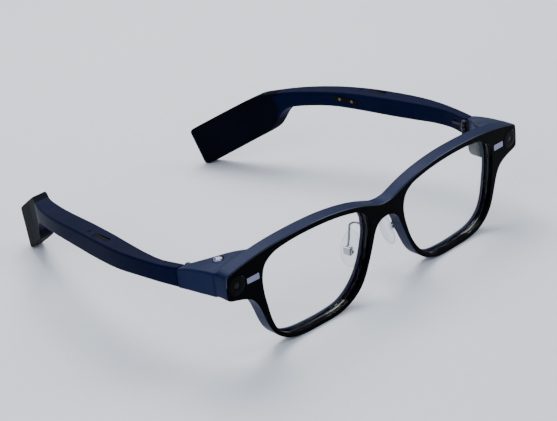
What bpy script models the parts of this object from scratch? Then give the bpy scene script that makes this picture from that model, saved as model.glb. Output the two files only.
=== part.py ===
"""Smart glasses: a full-rim front with two display waveguides, a camera pod and a sensor pod behind the
end pieces, folding temples with battery paddles, and adjustable nose pads.

Frame: +X to the wearer's left, +Y from the front towards the ears, +Z up. Dimensions below are millimetres
in the drawing frame, where the foremost point of the bridge lies in the plane y = 0, z = 0 is the level of
the lens centres and x = 0 is the plane of symmetry. SET_DOWN then turns and moves the finished pieces so
that the object stands on a table on its rims and ear tips, with the origin under its middle.
"""
import math

import bpy
import bmesh
from mathutils import Matrix, Vector

MM = 0.001
GAP = 0.3  # clearance between neighbouring pieces
REST_ANGLE = 0.07994  # from level temples to standing on the rims and the ear tips
SET_DOWN = Matrix.Translation((0.0, -79.367, 20.414)) @ Matrix.Rotation(REST_ANGLE, 4, "X")
THROUGH = 1.0  # how far a cutter runs past the face it opens

# Front
WRAP = 0.0004  # the front bends back by WRAP * x * x
FRAME_DEPTH = 4.0
COVER_DEPTH = 0.9
COVER_FRONT = FRAME_DEPTH + GAP
FRONT_BACK = COVER_FRONT + COVER_DEPTH
LEDGE_DEPTH = 1.6  # rim left in front of the lens
LENS_LIP = 0.4  # how far lens and waveguide reach behind the rim
LENS_DEPTH = 1.0
GUIDE_DEPTH = 0.5
SLICE = 11.9  # widest flat strip on the bent front
FRONT_HALF_WIDTH = 72.5

# End pieces
WINDOW_X, WINDOW_Z, WINDOW_RADIUS = 68.4, 9.8, 3.5
WINDOW_DEPTH = 0.9
BARREL_RADIUS = 1.9
RIVET_X, RIVET_Z, RIVET_SIZE = 61.6, 9.6, (5.2, 2.2)
RIVET_PROUD, RIVET_DEPTH = 0.15, 0.6
CABLE_TOP, CABLE_LOW = 0.6, 1.0  # depth of the flexible cable under the front's top edge
MODULE_LENGTH = 5.0
ENGINE_X, ENGINE_Z, ENGINE_RADIUS, ENGINE_DEPTH = 60.7, 9.2, 5.2, 4.2
ENGINE_FRONT = FRONT_BACK + GAP + 1.5

# Hinge
HINGE_X, HINGE_Y = 69.5, 24.75
KNUCKLE_RADIUS, PIN_RADIUS = 1.2, 0.5
KNUCKLE_Z = (4.9, 6.5, 8.7, 10.3)
PIN_CLEARANCE = 0.15
FRAME_LEAF_X, FRAME_LEAF_THICK = 71.35, 0.9
TEMPLE_LEAF_X, TEMPLE_LEAF_THICK = 72.0, 0.8
LEAF_INSET = 0.3  # leaf shorter than its knuckles at each end
TONGUE_LOW, TONGUE_HIGH = 7.0, 8.2  # height range of the temple's single knuckle leaf

# Shutter button on the right pod
BUTTON_X, BUTTON_Y, BUTTON_TOP, BUTTON_RADIUS = 66.1, 12.8, 15.1, 1.65

# Nose pads
PAD_CENTRE = Vector((9.1, 10.0, -4.8))
PAD_SIZE = (2.6, 8.0, 14.0)
PAD_TAPER = 0.18
PAD_SPLAY, PAD_LEAN = math.radians(12), math.radians(12)
PIVOT = Vector((11.5, 8.7, -4.4))

# Outline of the front, from the middle of the top edge to the middle of the bridge's underside
FRONT_HALF = [
    (0, 12.5), (3, 12.8), (6, 13.8), (10, 15.2), (16, 16.8), (23, 18.0), (30, 18.7), (38, 18.9), (46, 18.7),
    (54, 18.1), (62, 16.9), (68, 15.6), (71.2, 14.7), (72.2, 14.0), (72.5, 12.8), (72.5, 6.8), (72.3, 5.8),
    (71.4, 5.1), (69, 4.4), (65.5, 3.35), (62.4, 1.6), (60.4, -1.2), (58.9, -5), (57.4, -9.4), (55.6, -13.2),
    (52.6, -16.6), (48, -19.2), (43, -20.2), (40, -20.5), (38, -20.5), (32, -20.5), (30, -20.5),
    (27, -20.3), (23, -19.5),
    (18.4, -17.6), (14.6, -14.6), (12.2, -11.2), (10.4, -7.6), (8.9, -4.2), (7.5, -0.6), (6.4, 2.4),
    (5.0, 4.9), (2.8, 6.5), (0, 7.1),
]
# Left lens opening, clockwise from the middle of its top
OPENING = [
    (35, 16.7), (46, 16.3), (52.5, 15.0), (56.2, 12.3), (57.6, 8), (57.5, 2.5), (56.6, -3), (55.3, -9),
    (53.4, -13.2), (50.2, -16.2), (45.5, -18.0), (38, -18.7), (30, -18.7), (23.5, -17.9), (19.2, -15.8),
    (15.6, -12.7), (12.9, -9), (11.0, -5), (9.6, -0.6), (8.7, 3.5), (8.6, 7.4), (10, 11.2), (13.2, 13.7),
    (18.5, 15.1), (25, 16.1),
]
# Pod behind the end piece: y, inner x, outer x, top z inner and outer, bottom z outer and inner
POD = [
    (FRONT_BACK + GAP, 57.8, 72.5, 17.4, 14.2, 5.4, 3.6), (9, 58.6, 72.8, 16.7, 13.9, 5.0, 3.4),
    (12.5, 60.9, 73.1, 15.7, 13.6, 4.7, 3.2), (16, 64.2, 73.5, 14.5, 13.1, 4.4, 3.2),
    (19.5, 67.0, 73.9, 13.2, 12.5, 4.2, 3.4), (22.5, 69.1, 74.3, 12.1, 11.8, 4.0, 3.6),
    (24.6, 70.2, 74.7, 11.5, 11.2, 3.9, 3.8),
]
# Temple stations: top y and z, bottom y and z, half thickness
TEMPLE = [
    (24.9, 11.3, 24.9, 3.9, 2.05), (34, 11.0, 34, 4.1, 2.1), (43, 10.9, 43, 3.9, 2.7),
    (53, 10.6, 53, 3.2, 3.5),
    (65, 10.1, 65, 2.6, 3.9), (80, 9.1, 80, 2.0, 4.0), (94, 7.5, 93, 1.2, 4.0), (106, 5.8, 105, -0.6, 3.8),
    (115, 4.3, 113.5, -2.6, 3.5), (121, 3.1, 117.5, -5.6, 3.4), (126, 2.0, 120, -10.0, 3.4),
    (129.5, 0.4, 123, -14.0, 3.4), (140, -5.9, 133, -20.6, 3.3), (151, -12.7, 144.5, -28, 3.2),
    (157.6, -16.9, 151.5, -32.4, 3.0), (159, -18.6, 153.8, -32.8, 2.2),
]
# Middle line of the left temple seen from above: y, x
TEMPLE_LINE = [
    (24.9, 72.5), (34, 74.6), (43, 75.2), (53, 74.9), (65, 73.7), (80, 71.9), (94, 69.8), (106, 66.9),
    (116, 63.4), (129, 56.8), (145, 50.2), (160, 44.4),
]
WALL = 1.2
LID_DEPTH = 1.0
GRILLE_Y_LEFT, GRILLE_Y_RIGHT, MIC_BEHIND, VENT_OUT = 74.0, 65.0, 8.0, 1.0
CHARGE_Y, CHARGE_Z = 86.0, 5.2
CHARGE_PITCH = 6.0


# ---------------------------------------------------------------- outlines
def smooth(points, closed, steps):
    """A centripetal Catmull-Rom curve through the points."""
    pts = [Vector(p) for p in points]
    if closed:
        pts = [pts[-1]] + pts + pts[:2]
    else:
        pts = [2 * pts[0] - pts[1]] + pts + [2 * pts[-1] - pts[-2]]
    out = []
    for a, b, c, d in zip(pts, pts[1:], pts[2:], pts[3:]):
        t1 = math.sqrt((b - a).length)
        t2 = t1 + math.sqrt((c - b).length)
        t3 = t2 + math.sqrt((d - c).length)
        for i in range(steps):
            t = t1 + (t2 - t1) * i / steps
            ab = a * (t1 - t) / t1 + b * t / t1
            bc = b * (t2 - t) / (t2 - t1) + c * (t - t1) / (t2 - t1)
            cd = c * (t3 - t) / (t3 - t2) + d * (t - t2) / (t3 - t2)
            abc = ab * (t2 - t) / t2 + bc * t / t2
            bcd = bc * (t3 - t) / (t3 - t1) + cd * (t - t1) / (t3 - t1)
            out.append(abc * (t2 - t) / (t2 - t1) + bcd * (t - t1) / (t2 - t1))
    return out if closed else out + [pts[-2]]


def offset(outline, distance):
    """Moves a clockwise outline outwards by the distance."""
    out = []
    count = len(outline)
    for i, point in enumerate(outline):
        edge = (outline[(i + 1) % count] - outline[i - 1]).normalized()
        out.append(point + Vector((-edge.y, edge.x)) * distance)
    return out


def front_outline():
    half = smooth(FRONT_HALF, False, 2)
    return half + [Vector((-p.x, p.y)) for p in reversed(half[1:-1])]


def opening_outline(side, grow):
    outline = offset(smooth(OPENING, True, 2), grow)
    return outline if side > 0 else [Vector((-p.x, p.y)) for p in reversed(outline)]


def circle(x, z, radius, count=20):
    turns = [2 * math.pi * i / count for i in range(count)]
    return [Vector((x + radius * math.cos(t), z + radius * math.sin(t))) for t in turns]


def rectangle(x, z, width, height):
    return [Vector((x + i * width / 2, z + j * height / 2)) for i, j in ((-1, -1), (1, -1), (1, 1), (-1, 1))]


def slot(x, z, length, width, count=5):
    """A rectangle with round ends, long in its second direction."""
    out = []
    for end in (1, -1):
        for i in range(count):
            angle = math.pi * i / (count - 1) + (0 if end > 0 else math.pi)
            centre = z + end * (length - width) / 2
            out.append(Vector((x + math.cos(angle) * width / 2, centre + math.sin(angle) * width / 2)))
    return out


def interpolate(table, value):
    """Straight-line reading of a table of rows, by its first column."""
    for low, high in zip(table, table[1:]):
        if value <= high[0]:
            break
    share = (value - low[0]) / (high[0] - low[0])
    return [a + (b - a) * share for a, b in zip(low, high)]


# ---------------------------------------------------------------- solids
def new_object(name, mesh_data):
    mesh = bpy.data.meshes.new(name)
    bmesh.ops.recalc_face_normals(mesh_data, faces=mesh_data.faces)
    mesh_data.to_mesh(mesh)
    mesh_data.free()
    piece = bpy.data.objects.new(name, mesh)
    bpy.context.scene.collection.objects.link(piece)
    return piece


def skin(name, rings):
    """A closed solid through rings of the same number of points, in millimetres."""
    bm = bmesh.new()
    loops = [[bm.verts.new(Vector(p)) for p in ring] for ring in rings]
    for low, high in zip(loops, loops[1:]):
        for i in range(len(low)):
            j = (i + 1) % len(low)
            bm.faces.new((low[i], low[j], high[j], high[i]))
    bm.faces.new(loops[0][::-1])
    bm.faces.new(loops[-1])
    if len(rings) > 2:
        bmesh.ops.triangulate(bm, faces=bm.faces)
    return new_object(name, bm)


def prism(name, outline, low, high, axis="y"):
    """An outline extruded along an axis. It lies in xz for y, xy for z and yz for x."""
    place = {
        "y": lambda p, d: (p.x, d, p.y),
        "z": lambda p, d: (p.x, p.y, d),
        "x": lambda p, d: (d, p.x, p.y),
    }[axis]
    return skin(name, [[place(p, low) for p in outline], [place(p, high) for p in outline]])


def combine(piece, others, operation):
    """Applies Booleans to a piece and removes the other solids."""
    for other in others:
        change = piece.modifiers.new("cut", "BOOLEAN")
        change.operation = operation
        change.solver = "EXACT"
        change.object = other
        other.hide_render = True
        other.display_type = "WIRE"
    bpy.context.view_layer.update()
    result = bpy.data.meshes.new_from_object(piece.evaluated_get(bpy.context.evaluated_depsgraph_get()))
    piece.modifiers.clear()
    old = piece.data
    piece.data = result
    bpy.data.meshes.remove(old)
    for other in others:
        bpy.data.objects.remove(other)
    return piece


def cut(piece, *cutters):
    return combine(piece, cutters, "DIFFERENCE")


def join(piece, *others):
    return combine(piece, others, "UNION")


def bend(piece):
    """Slices a piece of the front into upright strips and bends it round the face."""
    bm = bmesh.new()
    bm.from_mesh(piece.data)
    bmesh.ops.dissolve_limit(bm, angle_limit=math.radians(0.2), verts=bm.verts, edges=bm.edges)
    strips = int(FRONT_HALF_WIDTH / SLICE)
    for i in range(-strips, strips + 1):
        geometry = bm.verts[:] + bm.edges[:] + bm.faces[:]
        bmesh.ops.bisect_plane(bm, geom=geometry, dist=1e-4, plane_co=(i * SLICE, 0, 0), plane_no=(1, 0, 0))
    bmesh.ops.triangulate(bm, faces=bm.faces)
    for vert in bm.verts:
        vert.co.y += WRAP * vert.co.x ** 2
    bm.to_mesh(piece.data)
    bm.free()
    return piece


def finish(piece, colour, roughness, metallic=0.0, alpha=1.0, pivot=None):
    """Brings a piece to metres, with its material and, if it moves, its origin on the joint's axis."""
    piece.data.transform(Matrix.Scale(MM, 4) @ SET_DOWN)
    material = bpy.data.materials.new(piece.name)
    material.use_nodes = True
    shader = material.node_tree.nodes["Principled BSDF"]
    shader.inputs["Base Color"].default_value = (*colour, 1.0)
    shader.inputs["Roughness"].default_value = roughness
    shader.inputs["Metallic"].default_value = metallic
    shader.inputs["Alpha"].default_value = alpha
    piece.data.materials.clear()
    piece.data.materials.append(material)
    if pivot is not None:
        origin = SET_DOWN @ Vector(pivot) * MM
        piece.data.transform(Matrix.Translation(-origin))
        piece.location = origin
    return piece


GLOSS_BLACK = ((0.008, 0.008, 0.010), 0.08)
SATIN_NAVY = ((0.012, 0.014, 0.030), 0.35)
DARK = ((0.02, 0.02, 0.022), 0.5)
STEEL = ((0.62, 0.63, 0.65), 0.25, 1.0)
GOLD = ((0.85, 0.62, 0.25), 0.3, 1.0)
GREEN = ((0.02, 0.12, 0.06), 0.5)
CLEAR = ((0.92, 0.95, 0.96), 0.03, 0.0, 0.2)


# ---------------------------------------------------------------- front
def cable_band(low, high):
    """The strip under the top edge between two depths below it."""
    half = [p for p in smooth(FRONT_HALF, False, 2) if p.x <= 55.0 and p.y > 12.0]
    top = [Vector((-p.x, p.y)) for p in reversed(half[1:])] + half
    return [Vector((p.x, p.y - low)) for p in top] + [Vector((p.x, p.y - high)) for p in reversed(top)]


def make_front():
    frame = prism("front_frame", front_outline(), 0, FRAME_DEPTH)
    cover = prism("rear_cover", front_outline(), COVER_FRONT, FRONT_BACK)
    frame_cuts, cover_cuts = [], []
    for side in (-1, 1):
        frame_cuts.append(prism("hole", opening_outline(side, 0), -THROUGH, FRAME_DEPTH + THROUGH))
        pocket = opening_outline(side, LENS_LIP + GAP)
        frame_cuts.append(prism("hole", pocket, LEDGE_DEPTH, FRAME_DEPTH + THROUGH))
        hole = prism("hole", opening_outline(side, 0), COVER_FRONT - THROUGH, FRONT_BACK + THROUGH)
        cover_cuts.append(hole)
        x = side * WINDOW_X
        seat = circle(x, WINDOW_Z, WINDOW_RADIUS + GAP)
        frame_cuts.append(prism("hole", seat, -THROUGH, WINDOW_DEPTH + GAP))
        bore = circle(x, WINDOW_Z, BARREL_RADIUS + GAP)
        frame_cuts.append(prism("hole", bore, WINDOW_DEPTH, FRAME_DEPTH + THROUGH))
        cover_cuts.append(prism("hole", bore, COVER_FRONT - THROUGH, FRONT_BACK + THROUGH))
        width, height = (s + 2 * GAP for s in RIVET_SIZE)
        pocket = rectangle(side * RIVET_X, RIVET_Z, width, height)
        frame_cuts.append(prism("hole", pocket, -THROUGH, RIVET_DEPTH + GAP))
    groove = cable_band(CABLE_TOP - 0.2, CABLE_LOW + 0.2)
    frame_cuts.append(prism("hole", groove, FRAME_DEPTH - 0.9, FRAME_DEPTH + THROUGH))
    finish(bend(cut(frame, *frame_cuts)), *GLOSS_BLACK)
    finish(bend(cut(cover, *cover_cuts)), *SATIN_NAVY)
    cable = prism("bridge_cable", cable_band(CABLE_TOP, CABLE_LOW), FRAME_DEPTH - 0.7, FRAME_DEPTH - 0.2)
    finish(bend(cable), (0.45, 0.22, 0.06), 0.5)


def make_end_piece(side, word):
    """Lens stack, window and rivet of one side."""
    outline = opening_outline(side, LENS_LIP)
    start = LEDGE_DEPTH + GAP
    finish(bend(prism("lens_" + word, outline, start, start + LENS_DEPTH)), *CLEAR)
    start += LENS_DEPTH + 0.25
    finish(bend(prism("waveguide_" + word, outline, start, start + GUIDE_DEPTH)), *CLEAR)
    window = circle(side * WINDOW_X, WINDOW_Z, WINDOW_RADIUS, 24)
    finish(bend(prism("window_" + word, window, 0.1, WINDOW_DEPTH)), (0.01, 0.01, 0.012), 0.03)
    rivet = rectangle(side * RIVET_X, RIVET_Z, *RIVET_SIZE)
    rivet = prism("rivet_" + word, rivet, -RIVET_PROUD, RIVET_DEPTH)
    finish(bend(rivet), *STEEL)
    wrap = WRAP * WINDOW_X ** 2
    name = "camera_module" if side < 0 else "light_sensor"
    radius = BARREL_RADIUS if side < 0 else 1.3
    barrel = circle(side * WINDOW_X, WINDOW_Z, radius, 16)
    module = prism(name, barrel, wrap + 1.5, wrap + 1.5 + MODULE_LENGTH)
    size = (4.0, 5.4) if side < 0 else (3.6, 3.2)
    body = rectangle(side * WINDOW_X, WINDOW_Z - 0.2, *size)
    body = prism("body", body, wrap + FRONT_BACK + 0.5, 10.2)
    finish(join(module, body), *DARK)


# ---------------------------------------------------------------- pods
def pod_ring(side, row, inset, y):
    """The pod's cross-section at y: a quadrilateral with rounded corners."""
    _, inner, outer, top_in, top_out, low_out, low_in = row
    inner, outer = inner + inset, outer - inset
    corners = [
        (outer, top_out - inset, 0.9), (outer, low_out + inset, 0.9),
        (inner, low_in + inset, 2.6), (inner, top_in - inset, 0.9),
    ]
    span = (outer - inner) / 2
    ring = []
    for i, (x, z, radius) in enumerate(corners):
        radius = min(radius, span * 0.8)
        here = Vector((x, z))
        before = (Vector(corners[i - 1][:2]) - here).normalized()
        after = (Vector(corners[(i + 1) % 4][:2]) - here).normalized()
        for k in range(4):
            share = k / 3
            point = here + before * radius * (1 - share) ** 2 + after * radius * share ** 2
            ring.append((side * point.x, y + (WRAP * point.x ** 2 if y < 6 else 0), point.y))
    return ring


def pod_solid(name, side, inset, low, high, count):
    rings = []
    for i in range(count + 1):
        y = low + (high - low) * i / count
        rings.append(pod_ring(side, interpolate(POD, max(y, POD[0][0])), inset, y))
    return skin(name, rings)


def make_pod(side, word):
    shell = skin("pod_" + word, [pod_ring(side, row, 0, row[0]) for row in POD])
    cavity = pod_solid("hole", side, WALL, 4.0, 23.0, 7)
    engine_bore = prism("hole", circle(side * ENGINE_X, ENGINE_Z, ENGINE_RADIUS + GAP, 28), 4.0,
                        ENGINE_FRONT + ENGINE_DEPTH + GAP)
    barrel = prism("hole", circle(side * HINGE_X, HINGE_Y, KNUCKLE_RADIUS + GAP, 20), 0, 20, "z")
    low, high = KNUCKLE_Z[0], KNUCKLE_Z[-1]
    room = rectangle(side * FRAME_LEAF_X, 22.0, FRAME_LEAF_THICK + 2 * GAP, 8.0)
    leaf = prism("hole", room, low, high - 0.2, "z")
    web = prism("hole", rectangle(side * 70.25, 23.6, 3.5, 2.4), low - 0.1, high - 0.1, "z")
    cutters = [cavity, engine_bore, barrel, leaf, web]
    if side < 0:
        hole = circle(side * BUTTON_X, BUTTON_Y, BUTTON_RADIUS + GAP, 24)
        cutters.append(prism("hole", hole, 11.0, 18.0, "z"))
    finish(cut(shell, *cutters), *SATIN_NAVY)

    engine = prism("light_engine_" + word, circle(side * ENGINE_X, ENGINE_Z, ENGINE_RADIUS, 28),
                   ENGINE_FRONT, ENGINE_FRONT + ENGINE_DEPTH)
    finish(engine, *DARK)

    outline = [(63.6, 13.4), (71.4, 13.4), (71.4, 17.6), (68.4, 17.6), (66.2, 16.0)]
    board = prism("main_board" if side < 0 else "display_board",
                  [Vector((side * x, y)) for x, y in outline], 8.4, 9.2, "z")
    chip = prism("chip", rectangle(side * 68.4, 15.2, 3.2, 2.6), 9.1, 10.0, "z")
    finish(join(board, chip), *GREEN)


def make_button():
    centre = (-BUTTON_X, BUTTON_Y)
    cap = prism("shutter_button", circle(*centre, BUTTON_RADIUS, 24), BUTTON_TOP - 1.9, BUTTON_TOP, "z")
    dish = skin("dish", [[(p.x, p.y, z) for p in circle(*centre, r, 24)] for r, z in
                         ((0.7, BUTTON_TOP - 0.35), (1.35, BUTTON_TOP + 0.05), (1.35, BUTTON_TOP + 0.5))])
    stem = prism("stem", circle(*centre, 0.7, 12), BUTTON_TOP - 2.6, BUTTON_TOP - 1.8, "z")
    finish(join(cut(cap, dish), stem), (0.05, 0.09, 0.2), 0.2, pivot=(*centre, BUTTON_TOP))
    switch = prism("button_switch", rectangle(*centre, 2.8, 2.8), BUTTON_TOP - 4.0, BUTTON_TOP - 3.3, "z")
    dome = prism("dome", circle(*centre, 0.8, 12), BUTTON_TOP - 3.35, BUTTON_TOP - 3.1, "z")
    finish(join(switch, dome), *STEEL)


# ---------------------------------------------------------------- hinges
def make_hinge(side, word):
    axis = (side * HINGE_X, HINGE_Y)
    z0, z1, z2, z3 = KNUCKLE_Z
    plate = rectangle(side * FRAME_LEAF_X, 21.6, FRAME_LEAF_THICK, 4.6)
    leaf = prism("frame_hinge_" + word, plate, z0 + LEAF_INSET, z3 - LEAF_INSET, "z")
    web = rectangle(side * 70.5, 23.45, 2.4, FRAME_LEAF_THICK)
    bridge = prism("web", web, z0 + LEAF_INSET, z3 - LEAF_INSET, "z")
    low = prism("low", circle(*axis, KNUCKLE_RADIUS, 16), z0, z1, "z")
    high = prism("high", circle(*axis, KNUCKLE_RADIUS, 16), z2, z3, "z")
    join(leaf, bridge, low, high)
    bore = prism("bore", circle(*axis, PIN_RADIUS + PIN_CLEARANCE, 12), z0 - THROUGH, z3 + THROUGH, "z")
    room = prism("room", circle(*axis, KNUCKLE_RADIUS + GAP, 20), z1, z2, "z")
    finish(cut(leaf, bore, room), *STEEL)

    plate = rectangle(side * TEMPLE_LEAF_X, 29.4, TEMPLE_LEAF_THICK, 6.4)
    leaf = prism("temple_hinge_" + word, plate, TONGUE_LOW, TONGUE_HIGH, "z")
    bridge = prism("web", rectangle(side * 70.9, 26.5, 3.0, 0.9), TONGUE_LOW, TONGUE_HIGH, "z")
    wedge = [Vector((side * x, y)) for x, y in ((69.0, 25.4), (70.2, 25.2), (71.0, 26.9), (69.6, 26.9))]
    slant = prism("slant", wedge, TONGUE_LOW, TONGUE_HIGH, "z")
    middle = prism("middle", circle(*axis, KNUCKLE_RADIUS, 16), z1 + GAP, z2 - GAP, "z")
    join(leaf, bridge, slant, middle)
    bore = prism("bore", circle(*axis, PIN_RADIUS + PIN_CLEARANCE, 12), z0 - THROUGH, z3 + THROUGH, "z")
    finish(cut(leaf, bore), *STEEL, pivot=(*axis, 0))

    pin = prism("hinge_screw_" + word, circle(*axis, PIN_RADIUS, 12), z0 + 0.2, z3 + 0.2, "z")
    head = prism("head", circle(*axis, 0.95, 16), z3 + 0.15, z3 + 0.75, "z")
    slit = prism("slit", rectangle(*axis, 1.4, 0.25), z3 + 0.5, z3 + 1.5, "z")
    finish(cut(join(pin, head), slit), *STEEL)


# ---------------------------------------------------------------- temples
def temple_line(y):
    return interpolate(TEMPLE_LINE, y)[1]


def temple_rings(side, first, last, inner, outer, top, bottom, count, radius=0.9):
    """Rings between two station numbers. Inner and outer are the x of the two faces, as distances from the
    temple's own faces into the material; top and bottom are the same for the upper and lower faces."""
    table = [(i, *row) for i, row in enumerate(TEMPLE)]
    rings = []
    for i in range(count + 1):
        _, y_top, z_top, y_low, z_low, half = interpolate(table, first + (last - first) * i / count)
        up = Vector((y_top - y_low, z_top - z_low)).normalized()
        high = Vector((y_top, z_top)) - up * top
        low = Vector((y_low, z_low)) + up * bottom
        left, right = -half + inner, half - outer
        rise = (high - low).length
        round_off = min(radius, rise * 0.4, (right - left) * 0.4)
        corners = [(left, 0, 1, 1), (left, rise, 1, -1), (right, rise, -1, -1), (right, 0, -1, 1)]
        ring = []
        for number, (across, along, sx, sz) in enumerate(corners):
            steps = ((1, 0), (0.3, 0.3), (0, 1)) if radius > 0 else ((0, 0),)
            for a, b in (steps if number % 2 == 0 else steps[::-1]):
                place = low + up * (along + sz * b * round_off)
                x = temple_line(place.x) + across + sx * a * round_off
                ring.append((side * x, place.x, place.y))
        rings.append(ring)
    return rings


def make_temple(side, word):
    axis = (side * HINGE_X, HINGE_Y, 0)
    last = len(TEMPLE) - 1
    shell = skin("temple_" + word, temple_rings(side, 0, last, 0, 0, 0, 0, 2 * last))
    cavity = skin("hole", temple_rings(side, 3, 13.8, -3, WALL, WALL, WALL, 17, 0))
    barrel = prism("hole", circle(side * HINGE_X, HINGE_Y, KNUCKLE_RADIUS + GAP, 20), 0, 20, "z")
    low, high = TONGUE_LOW - GAP, TONGUE_HIGH + GAP
    room = rectangle(side * TEMPLE_LEAF_X, 29.2, TEMPLE_LEAF_THICK + 2 * GAP, 7.6)
    slot_long = prism("hole", room, low, high, "z")
    slot_wide = prism("hole", rectangle(side * 70.7, 26.0, 4.1, 2.9), low - 0.1, high + 0.1, "z")
    relief = prism("hole", rectangle(side * 70.2, 25.0, 1.2, 2.2), 0, 20, "z")
    grille_y = GRILLE_Y_LEFT if side > 0 else GRILLE_Y_RIGHT
    grille_x = side * (temple_line(grille_y) + VENT_OUT)
    grille_z = interpolate([(r[0], r[1]) for r in TEMPLE], grille_y)[1]
    vent = prism("hole", slot(grille_x, grille_y, 9.0, 2.6), grille_z - 3, grille_z + 2, "z")
    mic_y = grille_y + MIC_BEHIND
    mic_x = side * (temple_line(mic_y) + VENT_OUT)
    mic_z = interpolate([(r[0], r[1]) for r in TEMPLE], mic_y)[1]
    mic_bore = prism("hole", circle(mic_x, mic_y, 0.9, 12), mic_z - 3, mic_z + 2, "z")
    finish(cut(shell, cavity, barrel, slot_long, slot_wide, relief, vent, mic_bore), *SATIN_NAVY, pivot=axis)

    lid_edge = WALL + GAP
    lid = skin("temple_lid_" + word, lid_rings(side, lid_edge))
    if side > 0:
        cut(lid, charge_prism("hole", 12.6, 3.0, -1.5, 1.5))
    finish(lid, *SATIN_NAVY, pivot=axis)

    inner = LID_DEPTH + GAP
    edge = WALL + GAP
    outer = WALL + GAP
    battery = skin("battery_" + word, temple_rings(side, 11.6, 13.5, inner, outer, edge, edge, 4, 0.6))
    finish(battery, (0.05, 0.05, 0.055), 0.4, pivot=axis)
    speaker = skin("speaker_" + word, temple_rings(side, 6.1, 7.2, inner, outer, edge, edge, 2, 0.6))
    finish(speaker, *DARK, pivot=axis)
    board = skin("temple_board_" + word, temple_rings(side, 3.3, 4.3, inner, 4.0, edge, edge, 3, 0))
    finish(board, *GREEN, pivot=axis)

    grille = slot(grille_x, grille_y, 8.4, 2.0)
    grille = prism("speaker_grille_" + word, grille, grille_z - 0.9, grille_z - 0.1, "z")
    finish(grille, *DARK, pivot=axis)
    mic = prism("microphone_" + word, circle(mic_x, mic_y, 0.6, 12), mic_z - 1.1, mic_z - 0.1, "z")
    finish(mic, *DARK, pivot=axis)
    if side < 0:
        strip = skin("touch_strip", temple_rings(side, 4.5, 5.9, 5.4, WALL + GAP, 2.2, 1.6, 4, 0))
        finish(strip, (0.5, 0.3, 0.1), 0.4, pivot=axis)


def lid_rings(side, edge):
    """The inner lid: a plate that follows the temple's inner face, sunk into its opening."""
    table = [(i, *row) for i, row in enumerate(TEMPLE)]
    first, last, count = 3.06, 13.74, 24
    rings = []
    for i in range(count + 1):
        _, y_top, z_top, y_low, z_low, half = interpolate(table, first + (last - first) * i / count)
        up = Vector((y_top - y_low, z_top - z_low)).normalized()
        high = Vector((y_top, z_top)) - up * edge
        low = Vector((y_low, z_low)) + up * edge
        ring = []
        for place, depth in ((low, 0), (high, 0), (high, LID_DEPTH), (low, LID_DEPTH)):
            ring.append((side * (temple_line(place.x) - half + depth), place.x, place.y))
        rings.append(ring)
    return rings


def charge_frame():
    """A point on the left temple's inner face, the direction along it and the direction into it."""
    half = interpolate([(r[0], r[4]) for r in TEMPLE], CHARGE_Y)[1]
    start = Vector((temple_line(CHARGE_Y) - half, CHARGE_Y))
    ahead = Vector((temple_line(CHARGE_Y + 5) - temple_line(CHARGE_Y - 5), 10.0)).normalized()
    return start, ahead, Vector((ahead.y, -ahead.x))


def charge_prism(name, length, height, low, high):
    """A block on the left temple's inner face round the charging contacts, square to that face."""
    start, ahead, out = charge_frame()
    base = [start + ahead * a * length / 2 + out * d for a, d in ((-1, low), (1, low), (1, high), (-1, high))]
    return prism(name, base, CHARGE_Z - height / 2, CHARGE_Z + height / 2, "z")


def make_charging(side):
    axis = (side * HINGE_X, HINGE_Y, 0)
    plate = charge_prism("charge_plate", 12.0, 2.4, -0.15, 0.9)
    pins = []
    start, ahead, out = charge_frame()
    for along in (-CHARGE_PITCH / 2, CHARGE_PITCH / 2):
        middle = start + ahead * along
        cylinders = (("hole", 0.9, -1, 2, False), ("pin", 0.65, -0.05, 0.8, True))
        for name, size, low, high, keep in cylinders:
            ring = []
            for distance in (low, high):
                spot = middle + out * distance
                ring.append([(spot.x + ahead.x * size * math.cos(t), spot.y + ahead.y * size * math.cos(t),
                              CHARGE_Z + size * math.sin(t)) for t in (math.pi * k / 6 for k in range(12))])
            solid = skin(name, ring)
            if keep:
                solid.name = "charge_pin_front" if along < 0 else "charge_pin_rear"
                finish(solid, *GOLD, pivot=axis)
            else:
                pins.append(solid)
    finish(cut(plate, *pins), *DARK, pivot=axis)


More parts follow.
